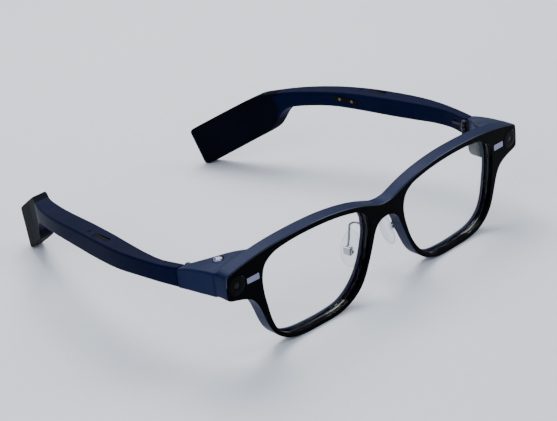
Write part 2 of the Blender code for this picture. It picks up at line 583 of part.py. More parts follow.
# ---------------------------------------------------------------- nose pads
def make_nose_pad(side, word):
    turn = Matrix.Rotation(-PAD_LEAN, 3, "Y") @ Matrix.Rotation(-PAD_SPLAY, 3, "Z")
    thick, wide, tall = PAD_SIZE
    rings = []
    count = 18
    for share, depth in ((0.55, -1.0), (0.88, -0.6), (1.0, 0.0), (0.86, 0.62), (0.5, 0.95)):
        ring = []
        for i in range(count):
            angle = 2 * math.pi * i / count
            across = math.cos(angle) * wide / 2 * share * (1.0 - PAD_TAPER * math.sin(angle))
            local = Vector((depth * thick / 2, across, math.sin(angle) * tall / 2 * share))
            spot = PAD_CENTRE + turn @ local
            ring.append((side * spot.x, spot.y, spot.z))
        rings.append(ring)
    pad = skin("nose_pad_" + word, rings)
    post = rectangle(side * (PIVOT.x - 0.95), PIVOT.z, 2.5, 1.5)
    post = prism("post", post, PIVOT.y - 0.45, PIVOT.y + 0.45)
    bore = prism("bore", circle(side * PIVOT.x, PIVOT.z, 0.5, 12), PIVOT.y - 2, PIVOT.y + 2)
    join(pad, post)
    finish(cut(pad, bore), (0.85, 0.88, 0.9), 0.15, 0.0, 0.4, pivot=(side * PIVOT.x, PIVOT.y, PIVOT.z))

    outline = rectangle(side * (PIVOT.x + 0.15), PIVOT.z, 1.9, 2.8)
    box = prism("pad_box_" + word, outline, PIVOT.y - 1.6, PIVOT.y + 1.6)
    outline = rectangle(side * (PIVOT.x - 0.9), PIVOT.z, 3.0, 4.0)
    room = prism("room", outline, PIVOT.y - 0.75, PIVOT.y + 0.75)
    bore = prism("bore", circle(side * PIVOT.x, PIVOT.z, 0.5, 12), PIVOT.y - 3, PIVOT.y + 3)
    finish(cut(box, room, bore), *STEEL)
    screw = circle(side * PIVOT.x, PIVOT.z, 0.35, 10)
    screw = prism("pad_screw_" + word, screw, PIVOT.y - 1.7, PIVOT.y + 1.6)
    head = prism("head", circle(side * PIVOT.x, PIVOT.z, 0.75, 14), PIVOT.y - 2.2, PIVOT.y - 1.65)
    finish(join(screw, head), *STEEL)

    foot_y = FRONT_BACK + GAP + WRAP * 7.2 ** 2
    route = [(7.2, foot_y + 0.1, 5.2), (7.7, 7.0, 5.4), (8.6, 8.4, 5.5), (9.7, 8.8, 5.1),
             (10.2, 8.8, 3.6), (10.7, 8.8, 0.8), (11.2, 8.75, -1.4), (11.6, 8.7, -2.7)]
    curve = bpy.data.curves.new("pad_arm_" + word, "CURVE")
    curve.dimensions = "3D"
    curve.bevel_depth = 0.5
    curve.bevel_resolution = 1
    curve.use_fill_caps = True
    line = curve.splines.new("POLY")
    points = smooth(route, False, 3)
    line.points.add(len(points) - 1)
    for target, point in zip(line.points, points):
        target.co = (side * point.x, point.y, point.z, 1.0)
    wire = bpy.data.objects.new("pad_arm_" + word, curve)
    bpy.context.scene.collection.objects.link(wire)
    bpy.context.view_layer.update()
    mesh = bpy.data.meshes.new_from_object(wire.evaluated_get(bpy.context.evaluated_depsgraph_get()))
    bpy.data.objects.remove(wire)
    arm = bpy.data.objects.new("pad_arm_" + word, mesh)
    bpy.context.scene.collection.objects.link(arm)
    foot = prism("foot", slot(side * 7.0, 6.0, 4.2, 1.8), foot_y, foot_y + 0.7)
    finish(join(arm, foot), *STEEL)


def main():
    for old in list(bpy.data.objects):
        bpy.data.objects.remove(old)
    make_front()
    make_button()
    for side, word in ((-1, "right"), (1, "left")):
        make_end_piece(side, word)
        make_pod(side, word)
        make_hinge(side, word)
        make_temple(side, word)
        make_nose_pad(side, word)
    make_charging(1)
    for piece in bpy.data.objects:
        piece.data.shade_smooth()
        piece.data.set_sharp_from_angle(angle=math.radians(30))


main()
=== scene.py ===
"""Looks of the smart glasses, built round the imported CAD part.

Shapes are drawn in millimetres in the drawing frame of the part (front at y = 0, lens centres at z = 0,
temples level) and SET_DOWN brings them to the row frame, where the glasses stand on rims and ear tips.
"""
import math

import bpy
import bmesh
from mathutils import Matrix, Vector
from mathutils.geometry import delaunay_2d_cdt


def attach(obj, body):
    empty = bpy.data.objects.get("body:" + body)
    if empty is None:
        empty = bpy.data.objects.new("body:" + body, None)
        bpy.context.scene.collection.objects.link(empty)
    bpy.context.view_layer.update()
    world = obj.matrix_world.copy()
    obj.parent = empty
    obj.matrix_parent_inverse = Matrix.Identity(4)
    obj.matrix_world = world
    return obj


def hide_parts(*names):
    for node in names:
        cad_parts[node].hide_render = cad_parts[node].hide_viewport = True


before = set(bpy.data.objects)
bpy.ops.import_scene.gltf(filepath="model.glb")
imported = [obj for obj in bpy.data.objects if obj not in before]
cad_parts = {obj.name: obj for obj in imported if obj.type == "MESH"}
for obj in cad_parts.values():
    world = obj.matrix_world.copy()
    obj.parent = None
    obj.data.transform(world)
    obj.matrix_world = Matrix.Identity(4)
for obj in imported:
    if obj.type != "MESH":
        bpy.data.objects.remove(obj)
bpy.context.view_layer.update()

MM = 0.001
GAP = 0.3
THROUGH = 1.0
REST_ANGLE = 0.07994
SET_DOWN = Matrix.Translation((0.0, -79.367, 20.414)) @ Matrix.Rotation(REST_ANGLE, 4, "X")

WRAP = 0.0004
FRAME_DEPTH = 4.0
COVER_DEPTH = 0.9
COVER_FRONT = FRAME_DEPTH + GAP
FRONT_BACK = COVER_FRONT + COVER_DEPTH
LEDGE_DEPTH = 1.6
LENS_LIP = 0.4
LENS_DEPTH = 1.0
GUIDE_DEPTH = 0.5

WINDOW_X, WINDOW_Z, WINDOW_RADIUS, WINDOW_DEPTH = 68.4, 9.8, 3.5, 0.9
BARREL_RADIUS = 1.9
RIVET_X, RIVET_Z, RIVET_SIZE = 61.6, 9.6, (5.2, 2.2)
RIVET_PROUD, RIVET_DEPTH = 0.15, 0.6
ENGINE_X, ENGINE_Z, ENGINE_RADIUS, ENGINE_DEPTH = 60.7, 9.2, 5.2, 4.2
ENGINE_FRONT = FRONT_BACK + GAP + 1.5

HINGE_X, HINGE_Y = 69.5, 24.75
KNUCKLE_RADIUS, PIN_RADIUS, PIN_CLEARANCE = 1.2, 0.5, 0.15
KNUCKLE_Z = (4.9, 6.5, 8.7, 10.3)
FRAME_LEAF_X, FRAME_LEAF_THICK = 71.35, 0.9
TEMPLE_LEAF_X, TEMPLE_LEAF_THICK = 72.0, 0.8
LEAF_INSET = 0.3
TONGUE_LOW, TONGUE_HIGH = 7.0, 8.2

BUTTON_X, BUTTON_Y, BUTTON_TOP, BUTTON_RADIUS = 66.1, 12.8, 15.1, 1.65

PAD_CENTRE = Vector((9.1, 10.0, -4.8))
PAD_SIZE = (2.6, 8.0, 14.0)
PAD_TAPER = 0.18
PAD_SPLAY, PAD_LEAN = math.radians(12), math.radians(12)
PIVOT = Vector((11.5, 8.7, -4.4))

FRONT_HALF = [
    (0, 12.5), (3, 12.8), (6, 13.8), (10, 15.2), (16, 16.8), (23, 18.0), (30, 18.7), (38, 18.9), (46, 18.7),
    (54, 18.1), (62, 16.9), (68, 15.6), (71.2, 14.7), (72.2, 14.0), (72.5, 12.8), (72.5, 6.8), (72.3, 5.8),
    (71.4, 5.1), (69, 4.4), (65.5, 3.35), (62.4, 1.6), (60.4, -1.2), (58.9, -5), (57.4, -9.4), (55.6, -13.2),
    (52.6, -16.6), (48, -19.2), (43, -20.2), (40, -20.5), (38, -20.5), (32, -20.5), (30, -20.5),
    (27, -20.3), (23, -19.5),
    (18.4, -17.6), (14.6, -14.6), (12.2, -11.2), (10.4, -7.6), (8.9, -4.2), (7.5, -0.6), (6.4, 2.4),
    (5.0, 4.9), (2.8, 6.5), (0, 7.1),
]
OPENING = [
    (35, 16.7), (46, 16.3), (52.5, 15.0), (56.2, 12.3), (57.6, 8), (57.5, 2.5), (56.6, -3), (55.3, -9),
    (53.4, -13.2), (50.2, -16.2), (45.5, -18.0), (38, -18.7), (30, -18.7), (23.5, -17.9), (19.2, -15.8),
    (15.6, -12.7), (12.9, -9), (11.0, -5), (9.6, -0.6), (8.7, 3.5), (8.6, 7.4), (10, 11.2), (13.2, 13.7),
    (18.5, 15.1), (25, 16.1),
]
POD = [
    (FRONT_BACK + GAP, 57.8, 72.5, 17.4, 14.2, 5.4, 3.6), (9, 58.6, 72.8, 16.7, 13.9, 5.0, 3.4),
    (12.5, 60.9, 73.1, 15.7, 13.6, 4.7, 3.2), (16, 64.2, 73.5, 14.5, 13.1, 4.4, 3.2),
    (19.5, 67.0, 73.9, 13.2, 12.5, 4.2, 3.4), (22.5, 69.1, 74.3, 12.1, 11.8, 4.0, 3.6),
    (24.6, 70.2, 74.7, 11.5, 11.2, 3.9, 3.8),
]
TEMPLE = [
    (24.9, 11.3, 24.9, 3.9, 2.05), (34, 11.0, 34, 4.1, 2.1), (43, 10.9, 43, 3.9, 2.7),
    (53, 10.6, 53, 3.2, 3.5),
    (65, 10.1, 65, 2.6, 3.9), (80, 9.1, 80, 2.0, 4.0), (94, 7.5, 93, 1.2, 4.0), (106, 5.8, 105, -0.6, 3.8),
    (115, 4.3, 113.5, -2.6, 3.5), (121, 3.1, 117.5, -5.6, 3.4), (126, 2.0, 120, -10.0, 3.4),
    (129.5, 0.4, 123, -14.0, 3.4), (140, -5.9, 133, -20.6, 3.3), (151, -12.7, 144.5, -28, 3.2),
    (157.6, -16.9, 151.5, -32.4, 3.0), (159, -18.6, 153.8, -32.8, 2.2),
]
TEMPLE_LINE = [
    (24.9, 72.5), (34, 74.6), (43, 75.2), (53, 74.9), (65, 73.7), (80, 71.9), (94, 69.8), (106, 66.9),
    (116, 63.4), (129, 56.8), (145, 50.2), (160, 44.4),
]
WALL = 1.2
LID_DEPTH = 1.0
GRILLE_Y_LEFT, GRILLE_Y_RIGHT, MIC_BEHIND, VENT_OUT = 74.0, 65.0, 8.0, 1.0
CHARGE_Y, CHARGE_Z = 86.0, 5.2


# ---------------------------------------------------------------- curves
def smooth(points, closed, steps):
    """A centripetal Catmull-Rom curve through the points."""
    pts = [Vector(p) for p in points]
    if closed:
        pts = [pts[-1]] + pts + pts[:2]
    else:
        pts = [2 * pts[0] - pts[1]] + pts + [2 * pts[-1] - pts[-2]]
    out = []
    for a, b, c, d in zip(pts, pts[1:], pts[2:], pts[3:]):
        t1 = math.sqrt((b - a).length)
        t2 = t1 + math.sqrt((c - b).length)
        t3 = t2 + math.sqrt((d - c).length)
        for i in range(steps):
            t = t1 + (t2 - t1) * i / steps
            ab = a * (t1 - t) / t1 + b * t / t1
            bc = b * (t2 - t) / (t2 - t1) + c * (t - t1) / (t2 - t1)
            cd = c * (t3 - t) / (t3 - t2) + d * (t - t2) / (t3 - t2)
            abc = ab * (t2 - t) / t2 + bc * t / t2
            bcd = bc * (t3 - t) / (t3 - t1) + cd * (t - t1) / (t3 - t1)
            out.append(abc * (t2 - t) / (t2 - t1) + bcd * (t - t1) / (t2 - t1))
    return out if closed else out + [pts[-2]]


def rows_smooth(table, steps):
    """The same curve through rows of any length, by cubic Hermite pieces over the row number."""
    out = []
    count = len(table)
    for i in range(count - 1):
        for k in range(steps):
            t = k / steps
            row = []
            for c in range(len(table[0])):
                p1, p2 = table[i][c], table[i + 1][c]
                p0 = table[i - 1][c] if i > 0 else 2 * p1 - p2
                p3 = table[i + 2][c] if i + 2 < count else 2 * p2 - p1
                m1, m2 = (p2 - p0) / 2, (p3 - p1) / 2
                limit = 3 * (p2 - p1)
                if limit == 0 or m1 * limit < 0:
                    m1 = 0.0
                if limit == 0 or m2 * limit < 0:
                    m2 = 0.0
                if abs(m1) > abs(limit):
                    m1 = limit
                if abs(m2) > abs(limit):
                    m2 = limit
                h = t * t * (3 - 2 * t)
                row.append(p1 * (1 - h) + p2 * h + m1 * t * (1 - t) ** 2 - m2 * t * t * (1 - t))
            out.append(tuple(row))
    return out + [tuple(float(v) for v in table[-1])]


def offset(outline, distance):
    """Moves a clockwise outline outwards by the distance."""
    out = []
    count = len(outline)
    for i, point in enumerate(outline):
        edge = (outline[(i + 1) % count] - outline[i - 1]).normalized()
        out.append(point + Vector((-edge.y, edge.x)) * distance)
    return out


def mirror(outline, side):
    return outline if side > 0 else [Vector((-p.x, p.y)) for p in reversed(outline)]


def front_outline(steps=5):
    half = smooth(FRONT_HALF, False, steps)
    return half + [Vector((-p.x, p.y)) for p in reversed(half[1:-1])]


def opening_outline(side, grow, steps=6):
    return mirror(offset(smooth(OPENING, True, steps), grow), side)


def circle(x, z, radius, count=48):
    turns = [2 * math.pi * i / count for i in range(count)]
    return [Vector((x + radius * math.cos(t), z + radius * math.sin(t))) for t in turns]


def rectangle(x, z, width, height):
    return [Vector((x + i * width / 2, z + j * height / 2)) for i, j in ((-1, -1), (1, -1), (1, 1), (-1, 1))]


def round_box(x, z, width, height, radius, count=6):
    out = []
    for i, j, start in ((1, 1, 0), (-1, 1, 1), (-1, -1, 2), (1, -1, 3)):
        for k in range(count):
            angle = math.pi / 2 * (start + k / (count - 1))
            centre = (x + i * (width / 2 - radius), z + j * (height / 2 - radius))
            out.append(Vector((centre[0] + radius * math.cos(angle), centre[1] + radius * math.sin(angle))))
    return out


def interpolate(table, value):
    for low, high in zip(table, table[1:]):
        if value <= high[0]:
            break
    share = (value - low[0]) / (high[0] - low[0])
    return [a + (b - a) * share for a, b in zip(low, high)]


# ---------------------------------------------------------------- solids, in millimetres
def new_object(name, bm):
    mesh = bpy.data.meshes.new(name)
    bmesh.ops.recalc_face_normals(bm, faces=bm.faces)
    bm.to_mesh(mesh)
    bm.free()
    piece = bpy.data.objects.new(name, mesh)
    bpy.context.scene.collection.objects.link(piece)
    return piece


def skin(name, rings, closed=True):
    """A solid through rings of the same number of points."""
    bm = bmesh.new()
    loops = [[bm.verts.new(Vector(p)) for p in ring] for ring in rings]
    for low, high in zip(loops, loops[1:]):
        for i in range(len(low)):
            j = (i + 1) % len(low)
            bm.faces.new((low[i], low[j], high[j], high[i]))
    if closed:
        bm.faces.new(loops[0][::-1])
        bm.faces.new(loops[-1])
    return new_object(name, bm)


PLACE = {
    "y": lambda p, d: (p.x, d, p.y),
    "z": lambda p, d: (p.x, p.y, d),
    "x": lambda p, d: (d, p.x, p.y),
}


def prism(name, outline, low, high, axis="y"):
    place = PLACE[axis]
    return skin(name, [[place(p, low) for p in outline], [place(p, high) for p in outline]])


def turned(name, centre, profile, axis="z", count=48):
    """A turned solid: rings of (radius, height) round a centre."""
    place = PLACE[axis]
    return skin(name, [[place(p, h) for p in circle(*centre, r, count)] for r, h in profile])


def combine(piece, others, operation):
    for other in others:
        change = piece.modifiers.new("cut", "BOOLEAN")
        change.operation = operation
        change.solver = "EXACT"
        change.object = other
    bpy.context.view_layer.update()
    result = bpy.data.meshes.new_from_object(piece.evaluated_get(bpy.context.evaluated_depsgraph_get()))
    piece.modifiers.clear()
    piece.data = result
    for other in others:
        bpy.data.objects.remove(other)
    return piece


def cut(piece, *cutters):
    return combine(piece, cutters, "DIFFERENCE")


def join(piece, *others):
    return combine(piece, others, "UNION")


def inside(point, outline):
    hit = False
    x, z = point
    for a, b in zip(outline, outline[1:] + outline[:1]):
        if (a.y > z) != (b.y > z) and x < (b.x - a.x) * (z - a.y) / (b.y - a.y) + a.x:
            hit = not hit
    return hit


def plate(name, outline, holes, low, high, bevel, wrap=True, grid=3.0, steps=3, back=None):
    """A plate of the front with rounded edges. Each hole is (outline, list of (grow, depth) rings)."""
    curves = []
    angles = [math.pi / 2 * k / steps for k in range(steps + 1)]
    rim = [(-bevel * (1 - math.sin(a)), low + bevel * (1 - math.cos(a))) for a in angles]
    back = bevel if back is None else back
    rim += [(-back * (1 - math.cos(a)), high - back * (1 - math.sin(a))) for a in angles]
    curves.append((outline, rim))
    curves += holes
    bm = bmesh.new()
    ends = {0: [], -1: []}
    for line, rings in curves:
        loops = [[bm.verts.new((p.x, depth, p.y)) for p in offset(line, grow)] for grow, depth in rings]
        for a, b in zip(loops, loops[1:]):
            for i in range(len(a)):
                j = (i + 1) % len(a)
                bm.faces.new((a[i], a[j], b[j], b[i]))
        ends[0].append(loops[0])
        ends[-1].append(loops[-1])
    for which in (0, -1):
        loops = ends[which]
        depth = loops[0][0].co.y
        points, edges, shapes = [], [], []
        for loop in loops:
            start = len(points)
            points += [Vector((v.co.x, v.co.z)) for v in loop]
            edges += [(start + i, start + (i + 1) % len(loop)) for i in range(len(loop))]
            shapes.append(points[start:])
        xs = [p.x for p in shapes[0]]
        zs = [p.y for p in shapes[0]]
        body = []
        x = min(xs) + grid
        while x < max(xs):
            z = min(zs) + grid
            while z < max(zs):
                spot = Vector((x, z))
                clear = min((spot - p).length for shape in shapes for p in shape) > grid * 0.4
                if clear and inside(spot, shapes[0]) and not any(inside(spot, s) for s in shapes[1:]):
                    body.append(spot)
                z += grid
            x += grid
        coords, _, faces, origin, _, _ = delaunay_2d_cdt(points + body, edges, [], 1, 1e-5)
        known = [v for loop in loops for v in loop]
        verts = []
        for i, co in enumerate(coords):
            source = [k for k in origin[i] if k < len(known)]
            verts.append(known[source[0]] if source else bm.verts.new((co.x, depth, co.y)))
        for face in faces:
            middle = sum((coords[i] for i in face), Vector((0, 0))) / len(face)
            if inside(middle, shapes[0]) and not any(inside(middle, s) for s in shapes[1:]):
                if len({verts[i] for i in face}) == len(face):
                    bm.faces.new([verts[i] for i in face])
    if wrap:
        for vert in bm.verts:
            vert.co.y += WRAP * vert.co.x ** 2
    return new_object(name, bm)


def hole_rings(low, high, bevel, steps=3):
    """A straight hole with rounded mouths, as rings that widen towards both faces."""
    angles = [math.pi / 2 * k / steps for k in range(steps + 1)]
    rings = [(bevel * (1 - math.sin(a)), low + bevel * (1 - math.cos(a))) for a in angles]
    return rings + [(bevel * (1 - math.cos(a)), high - bevel * (1 - math.sin(a))) for a in angles]


def wrap_piece(piece):
    for vert in piece.data.vertices:
        vert.co.y += WRAP * vert.co.x ** 2
    return piece


def bevel(piece, width, segments=3, angle=35):
    change = piece.modifiers.new("bevel", "BEVEL")
    change.width = width
    change.segments = segments
    change.limit_method = "ANGLE"
    change.angle_limit = math.radians(angle)
    change.use_clamp_overlap = True
    bpy.context.view_layer.update()
    result = bpy.data.meshes.new_from_object(piece.evaluated_get(bpy.context.evaluated_depsgraph_get()))
    piece.modifiers.clear()
    piece.data = result
    return piece


# ---------------------------------------------------------------- materials
def node(tree, kind, **values):
    made = tree.nodes.new(kind)
    for key, value in values.items():
        if key in made.inputs:
            made.inputs[key].default_value = value
        else:
            setattr(made, key, value)
    return made


def finish_material(name, colour, roughness, metallic=0.0, alpha=1.0, coat=0.0, coat_rough=0.05, specular=0.5,
                    spread=0.0, smudge=60.0, tint=0.0, grain=0.0, grain_scale=6000.0, transmission=0.0, ior=1.45,
                    stretch=(1, 1, 1), subsurface=0.0, sheen_colour=(1, 1, 1)):
    """A Principled material whose roughness, colour and surface vary a little over the piece."""
    material = bpy.data.materials.new(name)
    material.use_nodes = True
    tree = material.node_tree
    shader = tree.nodes["Principled BSDF"]
    fixed = {
        "Base Color": (*colour, 1.0), "Roughness": roughness, "Metallic": metallic, "Alpha": alpha,
        "Coat Weight": coat, "Coat Roughness": coat_rough, "Specular IOR Level": specular,
        "Transmission Weight": transmission, "IOR": ior, "Subsurface Weight": subsurface,
        "Specular Tint": (*sheen_colour, 1.0),
    }
    for key, value in fixed.items():
        shader.inputs[key].default_value = value
    place = node(tree, "ShaderNodeTexCoord")
    mapping = node(tree, "ShaderNodeMapping")
    mapping.inputs["Scale"].default_value = stretch
    tree.links.new(place.outputs["Object"], mapping.inputs["Vector"])
    if spread > 0:
        noise = node(tree, "ShaderNodeTexNoise", Scale=smudge, Detail=5.0, Roughness=0.6)
        tree.links.new(mapping.outputs["Vector"], noise.inputs["Vector"])
        span = node(tree, "ShaderNodeMapRange")
        span.inputs["From Min"].default_value = 0.3
        span.inputs["From Max"].default_value = 0.7
        span.inputs["To Min"].default_value = max(0.01, roughness - spread)
        span.inputs["To Max"].default_value = roughness + spread
        tree.links.new(noise.outputs["Fac"], span.inputs["Value"])
        tree.links.new(span.outputs["Result"], shader.inputs["Roughness"])
    if tint > 0:
        noise = node(tree, "ShaderNodeTexNoise", Scale=smudge * 0.7, Detail=3.0)
        tree.links.new(mapping.outputs["Vector"], noise.inputs["Vector"])
        ramp = node(tree, "ShaderNodeValToRGB")
        ramp.color_ramp.elements[0].position = 0.3
        ramp.color_ramp.elements[1].position = 0.7
        ramp.color_ramp.elements[0].color = (*(c * (1 - tint) for c in colour), 1)
        ramp.color_ramp.elements[1].color = (*(min(1.0, c * (1 + tint)) for c in colour), 1)
        tree.links.new(noise.outputs["Fac"], ramp.inputs["Fac"])
        tree.links.new(ramp.outputs["Color"], shader.inputs["Base Color"])
    if grain > 0:
        noise = node(tree, "ShaderNodeTexNoise", Scale=grain_scale, Detail=2.0)
        tree.links.new(mapping.outputs["Vector"], noise.inputs["Vector"])
        bump = node(tree, "ShaderNodeBump", Strength=grain, Distance=0.00002)
        tree.links.new(noise.outputs["Fac"], bump.inputs["Height"])
        tree.links.new(bump.outputs["Normal"], shader.inputs["Normal"])
    return material


def glass_material(name, colour, low, high):
    """Thin clear glass: nearly invisible face on, mirror-like at a glance."""
    material = finish_material(name, colour, 0.02, metallic=1.0, tint=0.02, smudge=25.0)
    tree = material.node_tree
    shader = tree.nodes["Principled BSDF"]
    weight = node(tree, "ShaderNodeLayerWeight", Blend=0.5)
    power = node(tree, "ShaderNodeMath", operation="POWER")
    power.inputs[1].default_value = 5.0
    tree.links.new(weight.outputs["Facing"], power.inputs[0])
    span = node(tree, "ShaderNodeMapRange")
    span.inputs["From Min"].default_value = 0.0
    span.inputs["From Max"].default_value = 1.0
    span.inputs["To Min"].default_value = low
    span.inputs["To Max"].default_value = high
    tree.links.new(power.outputs["Value"], span.inputs["Value"])
    tree.links.new(span.outputs["Result"], shader.inputs["Alpha"])
    return material


def silicone_glow_material(name, middle, edge, roughness, low, high):
    """Clear silicone: see-through face on and denser towards its edges, with painted shade that darkens its colour
    towards the edges and a painted glow (emission) in its near-white middle.
    """
    material = finish_material(name, middle, roughness, coat=0.6, spread=0.03, smudge=150.0, subsurface=0.1)
    tree = material.node_tree
    shader = tree.nodes["Principled BSDF"]
    weight = node(tree, "ShaderNodeLayerWeight", Blend=0.5)
    power = node(tree, "ShaderNodeMath", operation="POWER")
    power.inputs[1].default_value = 1.2
    tree.links.new(weight.outputs["Facing"], power.inputs[0])
    shader.inputs["Emission Strength"].default_value = 0.55  # painted glow: emission lights the pad though it is no lamp, standing in for light scattered inside
    ramp = node(tree, "ShaderNodeValToRGB")
    ramp.color_ramp.elements[0].color = (*middle, 1)
    ramp.color_ramp.elements[1].color = (*edge, 1)
    tree.links.new(power.outputs["Value"], ramp.inputs["Fac"])
    tree.links.new(ramp.outputs["Color"], shader.inputs["Base Color"])
    tree.links.new(ramp.outputs["Color"], shader.inputs["Emission Color"])
    span = node(tree, "ShaderNodeMapRange")
    span.inputs["To Min"].default_value = low
    span.inputs["To Max"].default_value = high
    tree.links.new(power.outputs["Value"], span.inputs["Value"])
    tree.links.new(span.outputs["Result"], shader.inputs["Alpha"])
    return material


LOOK = {
    "gloss_black": finish_material("gloss_black", (0.0001, 0.0002, 0.0006), 0.07, specular=0.025,
                                   spread=0.025, smudge=45.0, tint=0.2),
    # painted highlight: a lighter, shinier, blue-tinted copy of gloss_black, worn only by the top bevel of the front
    # to draw its bright edge line
    "painted_edge_highlight": finish_material("painted_edge_highlight", (0.0006, 0.0008, 0.0018), 0.18, specular=0.9,
                                  spread=0.04, smudge=70.0, tint=0.2, sheen_colour=(0.6, 0.75, 1.0)),
    "satin_navy": finish_material("satin_navy", (0.0032, 0.0072, 0.0310), 0.46, specular=0.12,
                                  spread=0.05, smudge=70.0, tint=0.15, grain=0.3,
                                  sheen_colour=(0.20, 0.34, 1.0)),
    "arm_navy": finish_material("arm_navy", (0.0021, 0.0038, 0.0190), 0.5, specular=0.035,
                                spread=0.05, smudge=70.0, tint=0.15, grain=0.3,
                                sheen_colour=(0.20, 0.34, 1.0)),
    "tip_black": finish_material("tip_black", (0.0020, 0.0026, 0.0060), 0.6, specular=0.012,
                                 spread=0.06, smudge=80.0, tint=0.2, grain=0.3),
    "dark_matte": finish_material("dark_matte", (0.002, 0.002, 0.003), 0.6, specular=0.06, spread=0.08,
                                  smudge=200.0, grain=0.5, grain_scale=4000.0),
    "engine_black": finish_material("engine_black", (0.003, 0.0035, 0.005), 0.32, specular=0.18, spread=0.06,
                                    smudge=150.0),
    "clear_lens": glass_material("clear_lens", (0.90, 0.93, 0.96), 0.022, 0.8),
    "waveguide": glass_material("waveguide", (0.60, 0.80, 0.90), 0.012, 0.4),
    "window_glass": finish_material("window_glass", (0.0003, 0.0003, 0.0007), 0.05, specular=0.05,
                                    spread=0.01, smudge=120.0, tint=0.2),
    "window_core": finish_material("window_core", (0.006, 0.006, 0.009), 0.2, specular=0.12,
                                   spread=0.02, smudge=120.0),
    "window_ring": finish_material("window_ring", (0.0008, 0.0008, 0.0013), 0.3, specular=0.08, spread=0.05,
                                   smudge=300.0),
    "steel": finish_material("steel", (0.66, 0.67, 0.70), 0.22, metallic=1.0, spread=0.06, smudge=300.0,
                             tint=0.06, grain=0.3, grain_scale=3000.0, stretch=(1, 12, 1)),
    "bright_steel": finish_material("bright_steel", (0.80, 0.81, 0.84), 0.14, metallic=1.0, spread=0.05,
                                    smudge=300.0, tint=0.05),
    "rivet_steel": finish_material("rivet_steel", (0.19, 0.205, 0.29), 0.2, metallic=1.0, spread=0.05,
                                   smudge=300.0, tint=0.06),
    "wire_steel": finish_material("wire_steel", (0.20, 0.20, 0.22), 0.25, metallic=1.0, spread=0.05,
                                  smudge=300.0, tint=0.1),
    "box_steel": finish_material("box_steel", (0.42, 0.42, 0.45), 0.2, metallic=1.0, spread=0.05,
                                 smudge=300.0, tint=0.1),
    "black_steel": finish_material("black_steel", (0.030, 0.031, 0.036), 0.34, metallic=1.0, spread=0.06,
                                   smudge=300.0, tint=0.1, grain=0.3, grain_scale=3000.0),
    # silicone: painted glow in the near-white middle colour and painted shade in the dark blue edge colour
    "silicone": silicone_glow_material("silicone", (0.92, 0.96, 1.0), (0.04, 0.08, 0.22), 0.10, 0.40, 0.97),
    "circuit": finish_material("circuit", (0.006, 0.045, 0.024), 0.4, specular=0.25, spread=0.08, smudge=500.0,
                               tint=0.4),
    "copper_flex": finish_material("copper_flex", (0.030, 0.013, 0.004), 0.5, specular=0.1, spread=0.08,
                                   smudge=300.0, tint=0.2),
    "gold": finish_material("gold", (0.12, 0.11, 0.09), 0.35, metallic=1.0, spread=0.06, smudge=400.0, tint=0.08),
    "battery_wrap": finish_material("battery_wrap", (0.02, 0.02, 0.023), 0.4, spread=0.08, smudge=150.0,
                                    tint=0.2),
    "button_blue": finish_material("button_blue", (0.03, 0.055, 0.13), 0.12, metallic=0.3, coat=0.8,
                                   spread=0.03, smudge=300.0, tint=0.15),
}


def done(piece, look, body, slot, *nodes, sharp=32, flat=True):
    """Brings a piece to the row frame, dresses it, hangs it on its body and hides the CAD nodes it stands in for. Each
    pair among the nodes is a second look and the test for the faces that wear it."""
    extra = [item for item in nodes if isinstance(item, tuple)]
    nodes = [item for item in nodes if not isinstance(item, tuple)]
    piece.data.materials.clear()
    for finish in [look] + [name for name, _ in extra]:
        piece.data.materials.append(LOOK[finish])
    for face in piece.data.polygons:
        face.material_index = next((i + 1 for i, (_, test) in enumerate(extra) if test(face)), 0)
    piece.data.transform(Matrix.Scale(MM, 4) @ SET_DOWN)
    piece.data.shade_smooth()
    piece.data.set_sharp_from_angle(angle=math.radians(sharp))
    if flat:
        weigh = piece.modifiers.new("normals", "WEIGHTED_NORMAL")
        weigh.keep_sharp = True
    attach(piece, body)
    if nodes:
        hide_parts(*nodes)
    return piece


# ---------------------------------------------------------------- front
EDGE = 0.35
FRONT_SEAM = COVER_FRONT - 0.015  # the two halves of the front meet in a seam too fine to see
SEAM_EDGE = 0.012


def cable_band(low, high):
    half = [p for p in smooth(FRONT_HALF, False, 4) if p.x <= 55.0 and p.y > 12.0]
    top = [Vector((-p.x, p.y)) for p in reversed(half[1:])] + half
    return [Vector((p.x, p.y - low)) for p in top] + [Vector((p.x, p.y - high)) for p in reversed(top)]


